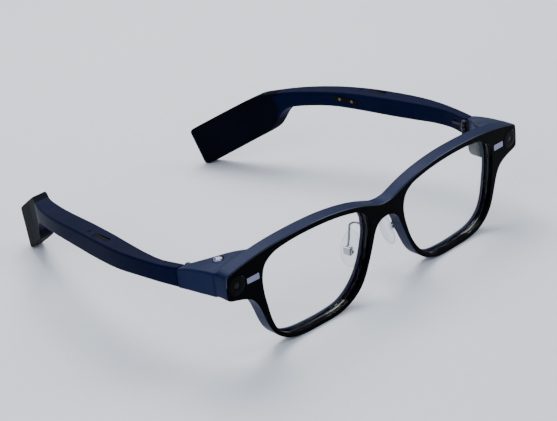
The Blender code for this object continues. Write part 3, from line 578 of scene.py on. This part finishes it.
def make_front():
    holes, cover_holes = [], []
    for side in (-1, 1):
        rings = hole_rings(0, LEDGE_DEPTH, 0.22)[:-4] + [(0, LEDGE_DEPTH), (LENS_LIP + GAP, LEDGE_DEPTH),
                                                          (LENS_LIP + GAP, FRAME_DEPTH)]
        rings[-1] = (LENS_LIP + GAP, FRONT_SEAM)
        holes.append((opening_outline(side, 0), rings))
        x = side * WINDOW_X
        seat = circle(x, WINDOW_Z, WINDOW_RADIUS + 0.12)[::-1]
        step = BARREL_RADIUS + GAP - WINDOW_RADIUS - 0.12
        rings = [(0.1, 0), (0, 0.1), (0, WINDOW_DEPTH + GAP), (step, WINDOW_DEPTH + GAP), (step, FRONT_SEAM)]
        holes.append((seat, rings))
        cover_holes.append((opening_outline(side, 0), hole_rings(COVER_FRONT, FRONT_BACK, 0.15)))
        bore = circle(x, WINDOW_Z, BARREL_RADIUS + GAP)[::-1]
        cover_holes.append((bore, [(0, COVER_FRONT), (0, FRONT_BACK)]))
    outline = front_outline()
    front = plate("front_frame_shell", outline, holes, 0, FRONT_SEAM, EDGE, back=SEAM_EDGE)
    cutters = [wrap_piece(prism("groove", cable_band(0.4, 1.2), FRAME_DEPTH - 0.9, FRAME_DEPTH + THROUGH))]
    for side in (-1, 1):
        seat = round_box(side * RIVET_X, RIVET_Z, RIVET_SIZE[0] + 0.2, RIVET_SIZE[1] + 0.2, 0.35)
        bottom = WRAP * RIVET_X ** 2 + RIVET_DEPTH + GAP
        cutters.append(prism("seat", seat, -THROUGH, bottom))
    eyes = [opening_outline(side, 1.2, 2) for side in (-1, 1)]

    def on_side(face):
        depth = face.center.y - WRAP * face.center.x ** 2
        spot = Vector((face.center.x, face.center.z))
        return depth > EDGE * 0.6 and not any(inside(spot, eye) for eye in eyes)

    # painted highlight: only the front bevel above z = 11 wears the lighter, shinier edge look
    def on_painted_highlight_edge(face):
        depth = face.center.y - WRAP * face.center.x ** 2
        spot = Vector((face.center.x, face.center.z))
        return 0.02 < depth <= EDGE * 0.6 and face.center.z > 11.0 and not any(inside(spot, eye) for eye in eyes)

    done(cut(front, *cutters), "gloss_black", "front", "gloss_black", "front_frame", ("satin_navy", on_side),
         ("painted_edge_highlight", on_painted_highlight_edge))
    cover = plate("rear_cover_shell", outline, cover_holes, COVER_FRONT, FRONT_BACK, SEAM_EDGE, back=0.05)
    done(cover, "satin_navy", "front", "satin_navy", "rear_cover")
    cable = wrap_piece(prism("flex_cable", cable_band(0.6, 1.0), FRAME_DEPTH - 0.7, FRAME_DEPTH - 0.2))
    done(cable, "copper_flex", "front", "copper_flex", "bridge_cable")


def make_lens(side, word):
    outline = opening_outline(side, LENS_LIP)
    start = LEDGE_DEPTH + GAP
    lens = plate("lens_glass_" + word, outline, [], start, start + LENS_DEPTH, 0.2, grid=2.5)
    done(lens, "clear_lens", "front", "clear_lens", "lens_" + word)
    start += LENS_DEPTH + 0.25
    guide = plate("waveguide_glass_" + word, outline, [], start, start + GUIDE_DEPTH, 0.12, grid=2.5)
    done(guide, "waveguide", "front", "clear_lens", "waveguide_" + word)


def make_window(side, word):
    """Round window: a rim, a fine ring groove and a small domed core."""
    centre = (side * WINDOW_X, WINDOW_Z)
    wrap = WRAP * WINDOW_X ** 2
    slope = 2 * WRAP * WINDOW_X * side
    r = WINDOW_RADIUS
    glass = turned("window_glass_" + word, centre, [
        (0.15, WINDOW_DEPTH), (r, WINDOW_DEPTH), (r, 0.2), (r - 0.06, 0.08), (r - 0.18, 0.03), (2.35, 0.0),
        (2.30, 0.06), (2.10, 0.06), (2.05, 0.0), (1.25, 0.0), (1.2, 0.12), (0.15, 0.12)], "y")
    core = turned("window_core_" + word, centre, [
        (0.05, 0.8), (1.1, 0.8), (1.1, 0.14), (1.0, 0.07), (0.75, 0.03), (0.4, 0.005), (0.05, 0.0)], "y")
    ring = turned("window_ring_" + word, centre, [
        (2.28, 0.5), (2.28, 0.045), (2.2, 0.03), (2.12, 0.045), (2.12, 0.5)], "y")
    for piece, look in ((glass, "window_glass"), (core, "window_core"), (ring, "window_ring")):
        for vert in piece.data.vertices:
            vert.co.y += wrap + slope * (vert.co.x - side * WINDOW_X)
    cut(glass, shifted_prism(side, "room", 1.12, wrap, slope), shifted_ring(side, wrap, slope))
    done(glass, "window_glass", "front", "window_glass", "window_" + word)
    done(core, "window_core", "front", "window_glass")
    done(ring, "window_ring", "front", "steel")


def tilt(piece, side, wrap, slope):
    for vert in piece.data.vertices:
        vert.co.y += wrap + slope * (vert.co.x - side * WINDOW_X)
    return piece


def shifted_prism(side, name, radius, wrap, slope):
    solid = prism(name, circle(side * WINDOW_X, WINDOW_Z, radius), -THROUGH, 0.82)
    return tilt(solid, side, wrap, slope)


def shifted_ring(side, wrap, slope):
    solid = turned("room", (side * WINDOW_X, WINDOW_Z), [(2.3, 0.52), (2.3, -1.0), (2.1, -1.0), (2.1, 0.52)], "y")
    bm = bmesh.new()
    bm.from_mesh(solid.data)
    caps = [f for f in bm.faces if len(f.verts) > 4]
    bmesh.ops.delete(bm, geom=caps, context="FACES_ONLY")
    edges = [e for e in bm.edges if e.is_boundary]
    bmesh.ops.bridge_loops(bm, edges=edges)
    bmesh.ops.recalc_face_normals(bm, faces=bm.faces)
    bm.to_mesh(solid.data)
    bm.free()
    return tilt(solid, side, wrap, slope)


def make_rivet(side, word):
    outline = round_box(side * RIVET_X, RIVET_Z, *RIVET_SIZE, 0.3)
    rivet = bevel(prism("rivet_bar_" + word, outline, -RIVET_PROUD, RIVET_DEPTH), 0.18)
    done(wrap_piece(rivet), "rivet_steel", "front", "steel", "rivet_" + word)


# ---------------------------------------------------------------- pods
def pod_ring(side, row, inset, y, corner=7):
    _, inner, outer, top_in, top_out, low_out, low_in = row
    inner, outer = inner + inset, outer - inset
    corners = [
        (outer, top_out - inset, 0.9), (outer, low_out + inset, 0.9),
        (inner, low_in + inset, 2.6), (inner, top_in - inset, 0.9),
    ]
    span = (outer - inner) / 2
    ring = []
    for i, (x, z, radius) in enumerate(corners):
        radius = min(radius, span * 0.8)
        here = Vector((x, z))
        before = (Vector(corners[i - 1][:2]) - here).normalized()
        after = (Vector(corners[(i + 1) % 4][:2]) - here).normalized()
        for k in range(corner):
            share = k / (corner - 1)
            point = here + before * radius * (1 - share) ** 2 + after * radius * share ** 2
            bend = WRAP * point.x ** 2 * min(1.0, max(0.0, 1 - (y - POD[0][0]) / 3.0))
            ring.append((side * point.x, y + bend, point.y))
    return ring


def make_pod(side, word):
    rows = rows_smooth(POD, 6)
    first, last = rows[0], rows[-1]
    rings = [pod_ring(side, first, 0, FRONT_BACK - 0.06)]
    rings += [pod_ring(side, row, 0, row[0]) for row in rows[:-1]]
    rings += [pod_ring(side, last, 0.0, last[0] - 0.25), pod_ring(side, last, 0.08, last[0] - 0.07),
              pod_ring(side, last, 0.25, last[0])]
    shell = skin("pod_shell_" + word, rings)
    low_y, high_y, count = 4.0, 23.0, 12
    cavity = []
    for i in range(count + 1):
        y = low_y + (high_y - low_y) * i / count
        cavity.append(pod_ring(side, interpolate(rows, max(y, POD[0][0])), WALL, y))
    cavity = skin("hole", cavity)
    engine_bore = prism("hole", circle(side * ENGINE_X, ENGINE_Z, ENGINE_RADIUS + GAP, 64), 4.0,
                        ENGINE_FRONT + ENGINE_DEPTH + GAP)
    barrel = prism("hole", circle(side * HINGE_X, HINGE_Y, KNUCKLE_RADIUS + GAP, 32), 0, 20, "z")
    low, high = KNUCKLE_Z[0], KNUCKLE_Z[-1]
    leaf = prism("hole", rectangle(side * FRAME_LEAF_X, 22.0, FRAME_LEAF_THICK + 2 * GAP, 8.0), low, high - 0.2, "z")
    web = prism("hole", rectangle(side * 70.25, 23.6, 3.5, 2.4), low - 0.1, high - 0.1, "z")
    cutters = [cavity, engine_bore, barrel, leaf, web]
    if side < 0:
        hole = [(BUTTON_RADIUS + 0.45, 18.0), (BUTTON_RADIUS + 0.45, BUTTON_TOP + 0.1),
                (BUTTON_RADIUS + 0.2, BUTTON_TOP - 0.35), (BUTTON_RADIUS + 0.2, 11.0)]
        cutters.append(turned("hole", (side * BUTTON_X, BUTTON_Y), hole))
    done(cut(shell, *cutters), "satin_navy", "front", "satin_navy", "pod_" + word, sharp=40)

    r = ENGINE_RADIUS
    engine = turned("engine_drum_" + word, (side * ENGINE_X, ENGINE_Z), [
        (r - 1.6, ENGINE_FRONT + 0.25), (r - 1.5, ENGINE_FRONT), (r - 0.3, ENGINE_FRONT),
        (r, ENGINE_FRONT + 0.3), (r, ENGINE_FRONT + 1.5), (r - 0.15, ENGINE_FRONT + 1.6),
        (r - 0.15, ENGINE_FRONT + 1.9), (r, ENGINE_FRONT + 2.0), (r, ENGINE_FRONT + ENGINE_DEPTH - 0.35),
        (r - 0.35, ENGINE_FRONT + ENGINE_DEPTH)], "y", 72)
    done(engine, "engine_black", "front", "dark_matte", "light_engine_" + word)


def make_button():
    top, r = BUTTON_TOP, BUTTON_RADIUS
    cap = turned("shutter_cap", (-BUTTON_X, BUTTON_Y), [
        (0.05, top - 2.6), (0.7, top - 2.6), (0.7, top - 1.9), (r - 0.1, top - 1.9), (r, top - 1.8),
        (r, top - 0.15), (r - 0.05, top - 0.05), (r - 0.18, top), (1.32, top - 0.03), (1.1, top - 0.13),
        (0.8, top - 0.23), (0.45, top - 0.30), (0.05, top - 0.33)])
    done(cap, "button_blue", "shutter", "button_blue", "shutter_button")
    switch = bevel(prism("switch_base", round_box(-BUTTON_X, BUTTON_Y, 2.8, 2.8, 0.3), top - 4.0, top - 3.3, "z"), 0.1)
    dome = turned("switch_dome", (-BUTTON_X, BUTTON_Y), [
        (0.8, top - 3.35), (0.78, top - 3.2), (0.6, top - 3.12), (0.05, top - 3.1)], count=24)
    done(join(switch, dome), "bright_steel", "front", "steel", "button_switch")


# ---------------------------------------------------------------- hinges
def make_hinge(side, word, arm):
    axis = (side * HINGE_X, HINGE_Y)
    z0, z1, z2, z3 = KNUCKLE_Z
    leaf = prism("frame_leaf_" + word, rectangle(side * FRAME_LEAF_X, 21.6, FRAME_LEAF_THICK, 4.6),
                 z0 + LEAF_INSET, z3 - LEAF_INSET, "z")
    bridge = prism("web", rectangle(side * 70.5, 23.45, 2.4, FRAME_LEAF_THICK), z0 + LEAF_INSET, z3 - LEAF_INSET, "z")
    r = KNUCKLE_RADIUS
    low = turned("low", axis, [(r - 0.12, z0), (r, z0 + 0.12), (r, z1 - 0.12), (r - 0.12, z1)], count=40)
    high = turned("high", axis, [(r - 0.12, z2), (r, z2 + 0.12), (r, z3 - 0.12), (r - 0.12, z3)], count=40)
    join(leaf, bridge, low, high)
    bore = prism("bore", circle(*axis, PIN_RADIUS + PIN_CLEARANCE, 32), z0 - THROUGH, z3 + THROUGH, "z")
    room = prism("room", circle(*axis, r + GAP, 40), z1, z2, "z")
    done(cut(leaf, bore, room), "black_steel", "front", "steel", "frame_hinge_" + word)

    leaf = prism("temple_leaf_" + word, rectangle(side * TEMPLE_LEAF_X, 29.4, TEMPLE_LEAF_THICK, 6.4),
                 TONGUE_LOW, TONGUE_HIGH, "z")
    bridge = prism("web", rectangle(side * 70.9, 26.5, 3.0, 0.9), TONGUE_LOW, TONGUE_HIGH, "z")
    wedge = [Vector((side * x, y)) for x, y in ((69.0, 25.4), (70.2, 25.2), (71.0, 26.9), (69.6, 26.9))]
    slant = prism("slant", wedge, TONGUE_LOW, TONGUE_HIGH, "z")
    a, b = z1 + GAP, z2 - GAP
    middle = turned("middle", axis, [(r - 0.12, a), (r, a + 0.12), (r, b - 0.12), (r - 0.12, b)], count=40)
    join(leaf, bridge, slant, middle)
    bore = prism("bore", circle(*axis, PIN_RADIUS + PIN_CLEARANCE, 32), z0 - THROUGH, z3 + THROUGH, "z")
    done(cut(leaf, bore), "black_steel", arm, "steel", "temple_hinge_" + word)

    pin = turned("hinge_bolt_" + word, axis, [
        (PIN_RADIUS - 0.1, z0 + 0.2), (PIN_RADIUS, z0 + 0.3), (PIN_RADIUS, z3 + 0.15), (0.87, z3 + 0.15),
        (0.95, z3 + 0.23), (0.95, z3 + 0.55), (0.85, z3 + 0.68), (0.6, z3 + 0.75)], count=32)
    slit = prism("slit", rectangle(*axis, 2.4, 0.25), z3 + 0.5, z3 + 1.5, "z")
    done(cut(pin, slit), "black_steel", "front", "steel", "hinge_screw_" + word)


# ---------------------------------------------------------------- temples
TIP_START = 119.0
LID_SEAM = 0.05
STATIONS = rows_smooth([(float(i), *row) for i, row in enumerate(TEMPLE)], 6)
LINE = [(p.x, p.y) for p in smooth(TEMPLE_LINE, False, 10)]


def temple_line(y):
    return interpolate(LINE, y)[1]


def temple_ring(side, place, inner, outer, top, bottom, radius=0.9, corner=6, pull=0.0):
    _, y_top, z_top, y_low, z_low, half = interpolate(STATIONS, place)
    up = Vector((y_top - y_low, z_top - z_low)).normalized()
    ahead = Vector((up.y, -up.x))
    high = Vector((y_top, z_top)) - up * top + ahead * pull
    low = Vector((y_low, z_low)) + up * bottom + ahead * pull
    left, right = -half + inner, half - outer
    rise = (high - low).length
    round_off = min(radius, rise * 0.4, (right - left) * 0.4)
    corners = [(left, 0, 1, 1), (left, rise, 1, -1), (right, rise, -1, -1), (right, 0, -1, 1)]
    ring = []
    for number, (across, along, sx, sz) in enumerate(corners):
        turns = [math.pi / 2 * k / (corner - 1) for k in range(corner)] if radius > 0 else [None]
        for turn in (turns if number % 2 == 0 else turns[::-1]):
            a, b = (0, 0) if turn is None else (1 - math.sin(turn), 1 - math.cos(turn))
            spot = low + up * (along + sz * b * round_off)
            x = temple_line(spot.x) + across + sx * a * round_off
            ring.append((side * x, spot.x, spot.y))
    return ring


def temple_rings(side, first, last, inner, outer, top, bottom, count, radius=0.9, corner=6):
    return [temple_ring(side, first + (last - first) * i / count, inner, outer, top, bottom, radius, corner)
            for i in range(count + 1)]


def on_tip(face):
    return face.center.y > TIP_START


def make_temple(side, word, arm):
    last = len(TEMPLE) - 1
    rings = [temple_ring(side, 0, 0.25, 0.25, 0.25, 0.25), temple_ring(side, 0.01, 0.08, 0.08, 0.08, 0.08),
             temple_ring(side, 0.03, 0, 0, 0, 0)]
    steps = 5
    rings += [temple_ring(side, i / steps, 0, 0, 0, 0) for i in range(1, last * steps - 1)]
    for share, inset in ((0.82, 0.0), (0.9, 0.1), (0.96, 0.35), (1.0, 0.8)):
        rings.append(temple_ring(side, last - 1 + share, inset * 0.4, inset * 0.4, inset, inset))
    shell = skin("temple_shell_" + word, rings)
    cavity = skin("hole", temple_rings(side, 3, 13.8, -3, WALL, WALL, WALL, 61, 0))
    barrel = prism("hole", circle(side * HINGE_X, HINGE_Y, KNUCKLE_RADIUS + GAP, 32), 0, 20, "z")
    low, high = TONGUE_LOW - GAP, TONGUE_HIGH + GAP
    slot_long = prism("hole", rectangle(side * TEMPLE_LEAF_X, 29.2, TEMPLE_LEAF_THICK + 2 * GAP, 7.6), low, high, "z")
    slot_wide = prism("hole", rectangle(side * 70.7, 26.0, 4.1, 2.9), low - 0.1, high + 0.1, "z")
    relief = prism("hole", rectangle(side * 70.2, 25.0, 1.2, 2.2), 0, 20, "z")
    grille_y = GRILLE_Y_LEFT if side > 0 else GRILLE_Y_RIGHT
    grille_x = side * (temple_line(grille_y) + VENT_OUT)
    grille_z = interpolate([(r[1], r[2]) for r in STATIONS], grille_y)[1]
    vent = prism("hole", round_box(grille_x, grille_y, 2.6, 9.0, 1.299, 14), grille_z - 3, grille_z + 2, "z")
    mic_y = grille_y + MIC_BEHIND
    mic_x = side * (temple_line(mic_y) + VENT_OUT)
    mic_z = interpolate([(r[1], r[2]) for r in STATIONS], mic_y)[1]
    mic_bore = prism("hole", circle(mic_x, mic_y, 0.8, 32), mic_z - 3, mic_z + 2, "z")
    cut(shell, cavity, barrel, slot_long, slot_wide, relief, vent, mic_bore)
    done(shell, "arm_navy", arm, "satin_navy", "temple_" + word, ("tip_black", on_tip), sharp=40)

    grille = bevel(prism("grille_" + word, round_box(grille_x, grille_y, 2.1, 8.5, 1.045, 14),
                         grille_z - 0.9, grille_z - 0.25, "z"), 0.12)
    holes = [prism("hole", circle(grille_x + side * 0.0, grille_y + (k - 4) * 0.85, 0.27, 14), grille_z - 0.55,
                   grille_z + 1, "z") for k in range(9)]
    done(cut(grille, *holes), "dark_matte", arm, "dark_matte", "speaker_grille_" + word)
    mic = turned("mic_port_" + word, (mic_x, mic_y), [
        (0.6, mic_z - 1.1), (0.6, mic_z - 0.2), (0.5, mic_z - 0.1), (0.32, mic_z - 0.1), (0.28, mic_z - 0.3),
        (0.05, mic_z - 0.32)], count=32)
    done(mic, "dark_matte", arm, "dark_matte", "microphone_" + word)

    lid_parts(side, word, arm)


def lid_parts(side, word, arm):
    """Inner lid, with rounded edges, cut for the charging plate on the left."""
    edge, count = WALL + LID_SEAM, 90
    first, last = 3.012, 13.788
    rings = []
    for i in range(count + 1):
        place = first + (last - first) * i / count
        _, y_top, z_top, y_low, z_low, half = interpolate(STATIONS, place)
        up = Vector((y_top - y_low, z_top - z_low)).normalized()
        high = Vector((y_top, z_top)) - up * edge
        low = Vector((y_low, z_low)) + up * edge
        pinch = 0.04 if i in (0, count) else 0.0
        ring = []
        for spot, lift, depth in (
                (low, 0.06, 0.0), (high, -0.06, 0.0), (high, -0.02, 0.02), (high, 0, 0.06),
                (high, 0, LID_DEPTH), (low, 0, LID_DEPTH), (low, 0, 0.06), (low, 0.02, 0.02)):
            point = spot + up * lift
            ring.append((side * (temple_line(point.x) - half + max(depth, pinch)), point.x, point.y))
        rings.append(ring)
    lid = skin("temple_lid_panel_" + word, rings)
    if side > 0:
        cut(lid, charge_prism("hole", 12.3, 2.7, -1.5, 1.5))
    done(lid, "arm_navy", arm, "satin_navy", "temple_lid_" + word, ("tip_black", on_tip), sharp=40)


def charge_frame():
    half = interpolate([(r[0], r[4]) for r in TEMPLE], CHARGE_Y)[1]
    start = Vector((interpolate(TEMPLE_LINE, CHARGE_Y)[1] - half, CHARGE_Y))
    run = interpolate(TEMPLE_LINE, CHARGE_Y + 5)[1] - interpolate(TEMPLE_LINE, CHARGE_Y - 5)[1]
    ahead = Vector((run, 10.0)).normalized()
    return start, ahead, Vector((ahead.y, -ahead.x))


def charge_prism(name, length, height, low, high):
    start, ahead, out = charge_frame()
    base = [start + ahead * a * length / 2 + out * d for a, d in ((-1, low), (1, low), (1, high), (-1, high))]
    return prism(name, base, CHARGE_Z - height / 2, CHARGE_Z + height / 2, "z")


# ---------------------------------------------------------------- nose pads
def make_nose_pad(side, word):
    turn = Matrix.Rotation(-PAD_LEAN, 3, "Y") @ Matrix.Rotation(-PAD_SPLAY, 3, "Z")
    thick, wide, tall = PAD_SIZE
    count = 56
    shells = ((0.02, -1.0), (0.3, -1.0), (0.55, -0.97), (0.74, -0.86), (0.88, -0.62), (0.96, -0.32), (1.0, 0.0),
              (0.985, 0.25), (0.93, 0.48), (0.82, 0.68), (0.66, 0.83), (0.45, 0.93), (0.2, 0.98), (0.02, 1.0))
    rings = []
    for share, depth in shells:
        ring = []
        for i in range(count):
            angle = 2 * math.pi * i / count
            across = math.cos(angle) * wide / 2 * share * (1.0 - PAD_TAPER * math.sin(angle))
            local = Vector((depth * thick / 2, across, math.sin(angle) * tall / 2 * share))
            spot = PAD_CENTRE + turn @ local
            ring.append((side * spot.x, spot.y, spot.z))
        rings.append(ring)
    pad = skin("pad_soft_" + word, rings)
    body = "pad_" + word
    done(pad, "silicone", body, "silicone", "nose_pad_" + word, sharp=60)
    post = bevel(prism("pad_post_" + word, rectangle(side * (PIVOT.x - 0.85), PIVOT.z, 2.2, 1.5),
                       PIVOT.y - 0.45, PIVOT.y + 0.45), 0.12)
    bore = prism("bore", circle(side * PIVOT.x, PIVOT.z, 0.42, 24), PIVOT.y - 2, PIVOT.y + 2)
    done(cut(post, bore), "wire_steel", body, "steel")

    outline = round_box(side * (PIVOT.x + 0.32), PIVOT.z, 1.56, 2.8, 0.35)
    box = bevel(prism("pad_clevis_" + word, outline, PIVOT.y - 1.6, PIVOT.y + 1.6), 0.15)
    room = prism("room", rectangle(side * (PIVOT.x - 0.9), PIVOT.z, 3.0, 4.0), PIVOT.y - 0.75, PIVOT.y + 0.75)
    bore = prism("bore", circle(side * PIVOT.x, PIVOT.z, 0.45, 24), PIVOT.y - 3, PIVOT.y + 3)
    done(cut(box, room, bore), "box_steel", "front", "steel", "pad_box_" + word)
    y = PIVOT.y
    screw = turned("pad_bolt_" + word, (side * PIVOT.x, PIVOT.z), [
        (0.5, y - 2.2), (0.68, y - 2.13), (0.75, y - 2.0), (0.75, y - 1.7), (0.35, y - 1.68), (0.35, y + 1.5),
        (0.25, y + 1.6)], "y", 28)
    slit = prism("slit", rectangle(side * PIVOT.x, PIVOT.z, 0.2, 2.0), y - 3, y - 2.05)
    done(cut(screw, slit), "box_steel", "front", "steel", "pad_screw_" + word)

    foot_y = FRONT_BACK + GAP + WRAP * 7.2 ** 2
    route = [(7.2, foot_y + 0.1, 5.2), (7.7, 7.0, 5.4), (8.6, 8.4, 5.5), (9.7, 8.8, 5.1),
             (10.2, 8.8, 3.6), (10.7, 8.8, 0.8), (11.2, 8.75, -1.4), (11.6, 8.7, -2.7)]
    curve = bpy.data.curves.new("wire", "CURVE")
    curve.dimensions = "3D"
    curve.bevel_depth = 0.42
    curve.bevel_resolution = 5
    curve.use_fill_caps = True
    line = curve.splines.new("POLY")
    points = smooth(route, False, 9)
    line.points.add(len(points) - 1)
    for target, point in zip(line.points, points):
        target.co = (side * point.x, point.y, point.z, 1.0)
    wire = bpy.data.objects.new("wire", curve)
    bpy.context.scene.collection.objects.link(wire)
    bpy.context.view_layer.update()
    mesh = bpy.data.meshes.new_from_object(wire.evaluated_get(bpy.context.evaluated_depsgraph_get()))
    bpy.data.objects.remove(wire)
    arm = bpy.data.objects.new("pad_wire_" + word, mesh)
    bpy.context.scene.collection.objects.link(arm)
    foot = bevel(prism("foot", round_box(side * 7.0, 6.0, 1.8, 4.2, 0.89, 8), foot_y, foot_y + 0.7), 0.15)
    done(join(arm, foot), "wire_steel", "front", "steel", "pad_arm_" + word, sharp=50)


def keep(look, *names):
    """A carried-over piece with a new finish."""
    for name in names:
        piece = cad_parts[name]
        piece.data.materials.clear()
        piece.data.materials.append(LOOK[look])


# ---------------------------------------------------------------- stage
def soft_light(name, spot, aim, size, power, colour=(1, 1, 1)):
    data = bpy.data.lights.new(name, "AREA")
    data.shape = "RECTANGLE"
    data.size, data.size_y = size
    data.energy = power
    data.color = colour
    lamp = bpy.data.objects.new(name, data)
    bpy.context.scene.collection.objects.link(lamp)
    lamp.location = spot
    lamp.rotation_euler = (Vector(aim) - Vector(spot)).to_track_quat("-Z", "Y").to_euler()


def make_stage():
    mesh = bpy.data.meshes.new("floor")
    reach = 3.0
    mesh.from_pydata([(-reach, -reach, 0), (reach, -reach, 0), (reach, reach, 0), (-reach, reach, 0)], [], [(0, 1, 2, 3)])
    floor = bpy.data.objects.new("floor", mesh)
    bpy.context.scene.collection.objects.link(floor)
    floor.data.materials.append(finish_material("floor_pale", (0.72, 0.74, 0.78), 0.5, spread=0.05, smudge=3.0))
    world = bpy.data.worlds.new("studio")
    world.use_nodes = True
    world.node_tree.nodes["Background"].inputs["Color"].default_value = (0.80, 0.86, 1.0, 1)
    world.node_tree.nodes["Background"].inputs["Strength"].default_value = 0.5
    bpy.context.scene.world = world
    soft_light("key", (0.25, 0.35, 0.75), (0, 0, 0.02), (0.6, 0.6), 9.0, (1.0, 0.99, 0.97))
    soft_light("fill", (-0.7, -0.3, 0.55), (0, 0, 0.02), (0.7, 0.5), 4.0, (0.80, 0.88, 1.0))
    soft_light("rim", (0.6, -0.6, 0.5), (0, 0, 0.02), (0.4, 0.5), 3.0, (0.92, 0.96, 1.0))
    soft_light("back", (-0.1, 0.9, 0.6), (0, 0, 0.02), (0.9, 0.3), 1.5, (0.85, 0.92, 1.0))


CAMERA_SPOT = Vector((-356.0, -355.4, 265.1))
CAMERA_AZIMUTH, CAMERA_ELEVATION, CAMERA_ROLL = -40.81, 26.64, -6.03
PICTURE_WIDTH, FOCAL = 557, 1633.3
SENSOR = 36.0


def make_camera():
    azimuth, elevation, roll = (math.radians(v) for v in (CAMERA_AZIMUTH, CAMERA_ELEVATION, CAMERA_ROLL))
    back = Vector((math.sin(azimuth) * math.cos(elevation), -math.cos(azimuth) * math.cos(elevation),
                   math.sin(elevation)))
    right = Vector((0, 0, 1)).cross(back).normalized()
    up = back.cross(right)
    x_axis = right * math.cos(roll) + up * math.sin(roll)
    y_axis = up * math.cos(roll) - right * math.sin(roll)
    turn = Matrix((x_axis, y_axis, back)).transposed()
    data = bpy.data.cameras.new("camera")
    data.sensor_width = SENSOR
    data.lens = FOCAL * SENSOR / PICTURE_WIDTH
    data.clip_start, data.clip_end = 0.05, 20.0
    camera = bpy.data.objects.new("camera", data)
    bpy.context.scene.collection.objects.link(camera)
    rest = SET_DOWN @ (Matrix.Translation(CAMERA_SPOT) @ turn.to_4x4())
    camera.matrix_world = Matrix.Translation(rest.translation * MM) @ rest.to_3x3().to_4x4()
    bpy.context.scene.camera = camera


make_stage()
make_camera()
make_front()
make_button()
for side, word in ((-1, "right"), (1, "left")):
    arm = "temple_arm_" + word
    make_lens(side, word)
    make_window(side, word)
    make_rivet(side, word)
    make_pod(side, word)
    make_hinge(side, word, arm)
    make_temple(side, word, arm)
    make_nose_pad(side, word)
    keep("battery_wrap", "battery_" + word)
    keep("dark_matte", "speaker_" + word)
    keep("circuit", "temple_board_" + word)
keep("circuit", "main_board", "display_board")
keep("dark_matte", "camera_module", "light_sensor", "charge_plate")
keep("copper_flex", "touch_strip")
keep("gold", "charge_pin_front", "charge_pin_rear")
